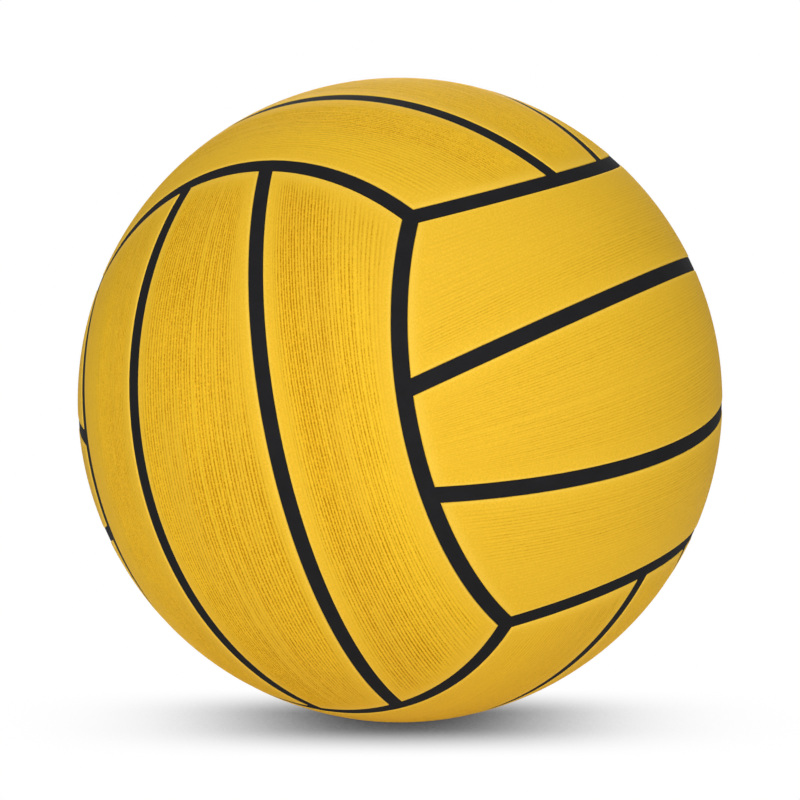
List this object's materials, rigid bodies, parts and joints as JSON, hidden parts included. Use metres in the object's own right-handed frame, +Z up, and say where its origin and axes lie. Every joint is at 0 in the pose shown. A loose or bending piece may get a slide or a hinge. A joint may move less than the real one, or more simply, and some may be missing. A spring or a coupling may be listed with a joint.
{
  "type": "water polo ball",
  "caption": "Inflated water polo ball with a ribbed rubber cover of separate strip panels, recessed seams and a needle valve with a removable plug.",
  "frame": {"origin": "centre of the ball", "axes": "+Z up as the ball rests in the picture, -Y towards the camera"},
  "size_m": [0.22, 0.22, 0.22],
  "materials": {
    "cover_rubber": "matte ribbed",
    "seam_rubber": "matte",
    "winding_nylon": "matte",
    "bladder_rubber": "satin",
    "valve_rubber": "satin"
  },
  "bodies": {
    "ball": {"bladder": "bladder_rubber", "winding": "winding_nylon", "carcass": "seam_rubber", "panel_top_first": "cover_rubber", "panel_top_middle": "cover_rubber", "panel_top_last": "cover_rubber", "panel_bottom_first": "cover_rubber", "panel_bottom_middle": "cover_rubber", "panel_bottom_last": "cover_rubber", "panel_front_right_first": "cover_rubber", "panel_front_right_middle": "cover_rubber", "panel_front_right_last": "cover_rubber", "panel_back_left_first": "cover_rubber", "panel_back_left_middle": "cover_rubber", "panel_back_left_last": "cover_rubber", "panel_back_right_first": "cover_rubber", "panel_back_right_middle": "cover_rubber", "panel_back_right_last": "cover_rubber", "panel_front_left_first": "cover_rubber", "panel_front_left_middle": "cover_rubber", "panel_front_left_last": "cover_rubber", "valve_housing": "valve_rubber"},
    "valve_plug": {"valve_core": "valve_rubber"}
  },
  "joints": [
    {"name": "valve_core_pull", "type": "slide", "parent": "ball", "child": "valve_plug", "axis": [0.5314, 0.8377, 0.1259], "range_m": [0, 0.03]}
  ]
}
